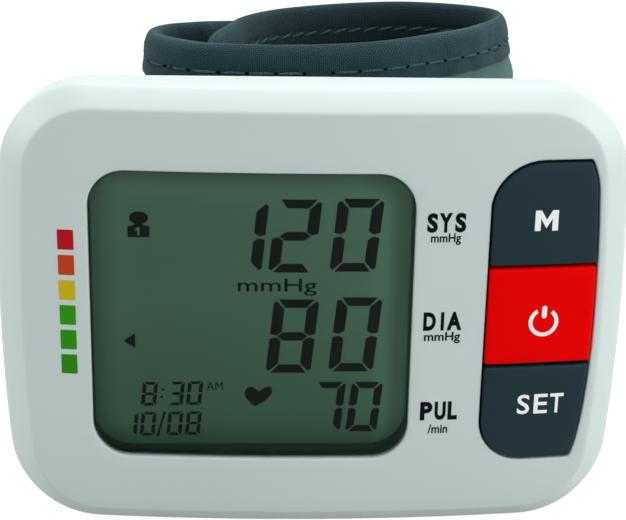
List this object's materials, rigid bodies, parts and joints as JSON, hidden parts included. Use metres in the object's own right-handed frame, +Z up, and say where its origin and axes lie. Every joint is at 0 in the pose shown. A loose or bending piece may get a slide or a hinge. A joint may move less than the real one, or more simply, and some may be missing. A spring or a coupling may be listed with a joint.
{
  "type": "wrist blood pressure monitor",
  "caption": "Wrist blood pressure monitor: arched case with a recessed display, a column of keys, a battery bay and a padded cuff that wraps round the wrist and opens.",
  "frame": {"origin": "middle of the base, on the surface that the monitor stands on", "axes": "+X to the right as the display is read, +Y from the display towards the cuff, +Z up"},
  "size_m": [0.084, 0.0784, 0.0615],
  "materials": {
    "shell_white": "fine satin moulding",
    "key_blue": "smooth dark blue-grey",
    "key_red": "smooth bright red",
    "clear_panel": "clear polished acrylic",
    "display_green": "grey-green liquid crystal",
    "dark_plastic": "black moulding",
    "connector_rubber": "striped elastomer",
    "board_green": "solder mask",
    "chip_black": "moulded epoxy",
    "steel": "zinc plated",
    "contact_steel": "nickel plated",
    "battery_wrap": "plain printed sleeve",
    "tube_silicone": "milky silicone",
    "cuff_fabric": "woven nylon with taped edges",
    "cuff_lining": "knitted nylon with taped edges",
    "hook_tape": "hook and loop tape",
    "bladder_rubber": "welded film",
    "curl_plastic": "springy polypropylene sheet"
  },
  "bodies": {
    "case": {"front_cover": "shell_white", "rear_cover": "shell_white", "memory_switch": "chip_black", "power_switch": "chip_black", "set_switch": "chip_black", "display_window": "clear_panel", "display_frame": "dark_plastic", "display_glass": "display_green", "display_connector": "connector_rubber", "main_board": "board_green", "control_chip": "chip_black", "pressure_sensor": "chip_black", "buzzer": "chip_black", "case_screw_left_lower": "steel", "case_screw_left_upper": "steel", "case_screw_right_lower": "steel", "case_screw_right_upper": "steel", "board_screw_lower": "steel", "board_screw_upper": "steel", "battery_outer": "battery_wrap", "battery_inner": "battery_wrap", "battery_link": "contact_steel", "battery_contact_outer": "contact_steel", "battery_contact_inner": "contact_steel", "battery_spring_outer": "contact_steel", "battery_spring_inner": "contact_steel", "pump_motor": "steel", "pump_head": "dark_plastic", "valve_body": "steel", "valve_spring": "contact_steel", "air_manifold": "dark_plastic", "cuff_tube": "tube_silicone", "pump_tube": "tube_silicone", "sensor_tube": "tube_silicone", "valve_tube": "tube_silicone", "cuff_plate": "dark_plastic", "air_nipple": "dark_plastic", "cuff_front": "cuff_fabric", "bladder": "bladder_rubber", "curl_sheet": "curl_plastic"},
    "memory_key": {"memory_key": "key_blue", "memory_switch_stem": "dark_plastic"},
    "power_key": {"power_key": "key_red", "power_switch_stem": "dark_plastic"},
    "set_key": {"set_key": "key_blue", "set_switch_stem": "dark_plastic"},
    "battery_door": {"battery_door": "shell_white"},
    "pump_shaft": {"pump_shaft": "steel"},
    "valve_plunger": {"valve_plunger": "steel"},
    "cuff_flap": {"cuff_flap": "cuff_fabric", "hook_patch": "hook_tape"},
    "cuff_band": {"cuff_band": "cuff_lining", "loop_patch": "hook_tape"}
  },
  "joints": [
    {"name": "memory_press", "type": "slide", "parent": "case", "child": "memory_key", "axis": [0, 1, 0], "range_m": [0, 0.0005], "stiffness_N_per_m": 1500},
    {"name": "power_press", "type": "slide", "parent": "case", "child": "power_key", "axis": [0, 1, 0], "range_m": [0, 0.0005], "stiffness_N_per_m": 1500},
    {"name": "set_press", "type": "slide", "parent": "case", "child": "set_key", "axis": [0, 1, 0], "range_m": [0, 0.0005], "stiffness_N_per_m": 1500},
    {"name": "door_slide", "type": "slide", "parent": "case", "child": "battery_door", "axis": [-1, 0, 0], "range_m": [0, 0.012]},
    {"name": "pump_spin", "type": "hinge", "parent": "case", "child": "pump_shaft", "pos_m": [0.003, -0.02262, 0.034], "axis": [0, 0, 1], "continuous": true},
    {"name": "valve_close", "type": "slide", "parent": "case", "child": "valve_plunger", "axis": [0, 0, 1], "range_m": [0, 0.0008], "stiffness_N_per_m": 400, "deforming": ["valve_spring"]},
    {"name": "flap_open", "type": "hinge", "parent": "case", "child": "cuff_flap", "pos_m": [-0.02098, -0.00252, 0.03], "axis": [0, 0, 1], "range_deg": [0, 90]},
    {"name": "band_open", "type": "hinge", "parent": "case", "child": "cuff_band", "pos_m": [0.02539, 0.00777, 0.03], "axis": [0, 0, 1], "range_deg": [-45, 0]}
  ],
  "couplings": [
    {"joint": "band_open", "follows": "flap_open", "ratio": -0.5}
  ]
}
